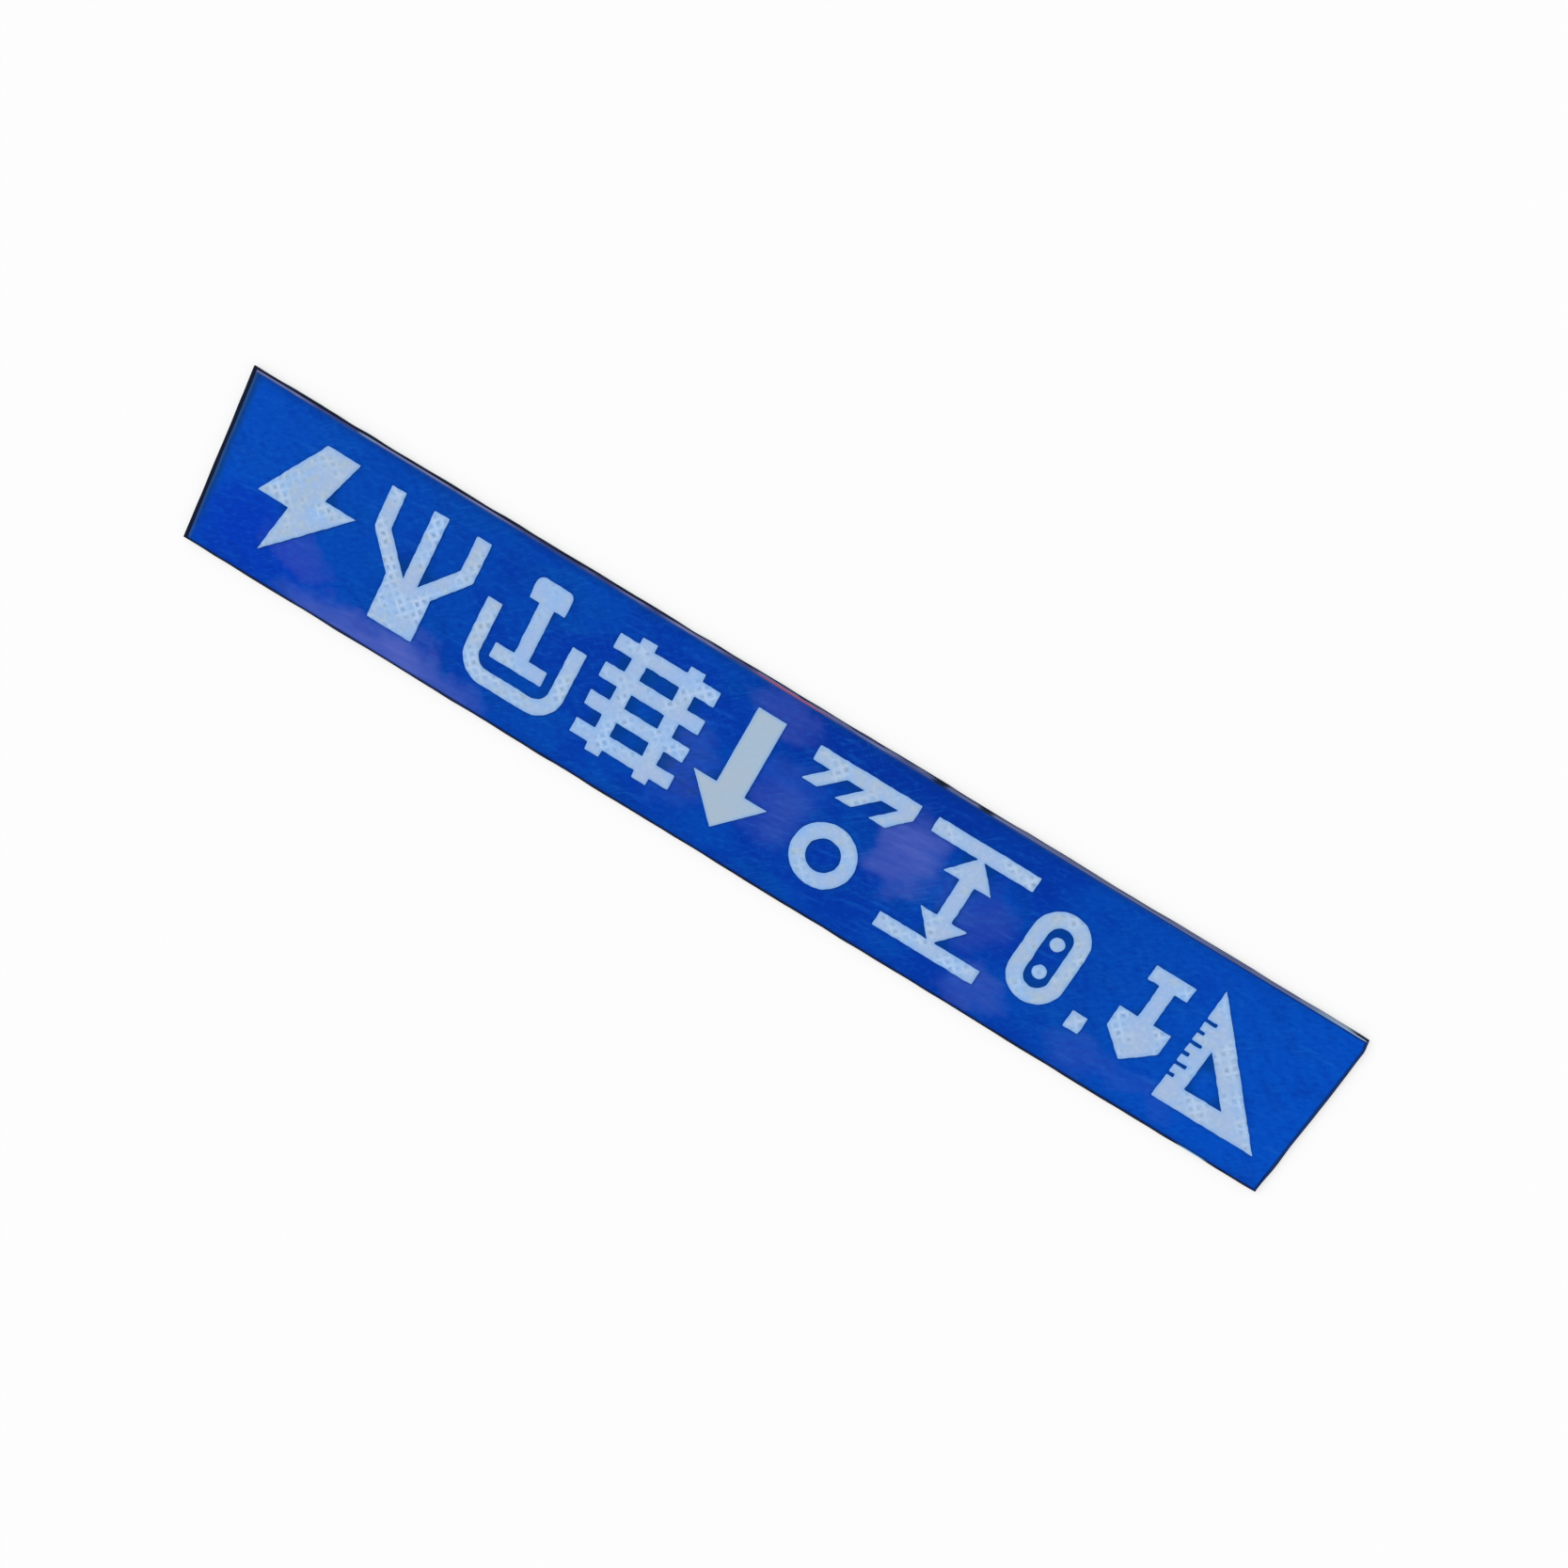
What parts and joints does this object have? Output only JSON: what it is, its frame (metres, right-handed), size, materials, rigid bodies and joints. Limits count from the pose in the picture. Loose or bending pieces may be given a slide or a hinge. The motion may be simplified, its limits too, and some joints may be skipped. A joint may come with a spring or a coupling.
{
  "type": "cable route marker plate",
  "caption": "Long flat marker plate for a cable route: a composite panel faced with blue reflective film and a row of white film pictograms round a down arrow.",
  "frame": {"origin": "middle of the panel's flat back face", "axes": "+X along the length in reading direction, +Y to the upper long edge, +Z out of the printed front"},
  "size_m": [0.401, 0.062, 0.0028],
  "materials": {
    "aluminium_skin": "mill finish, satin",
    "core": "sheared, matt, near black",
    "blue_film": "prismatic reflective film, smooth and slightly glossy",
    "white_film": "prismatic reflective film, smooth and slightly glossy"
  },
  "bodies": {
    "root": {"back_skin": "aluminium_skin", "core": "core", "front_skin": "aluminium_skin", "blue_film": "blue_film", "lightning_bolt": "white_film", "three_core_cable": "white_film", "rail_section": "white_film", "crossing_cable": "white_film", "railway_track": "white_film", "down_arrow": "white_film", "ground_line": "white_film", "buried_pipe": "white_film", "depth_mark": "white_film", "duct_ring": "white_film", "duct_cable_upper": "white_film", "duct_cable_lower": "white_film", "square_dot": "white_film", "spade": "white_film", "set_square": "white_film"}
  },
  "joints": []
}
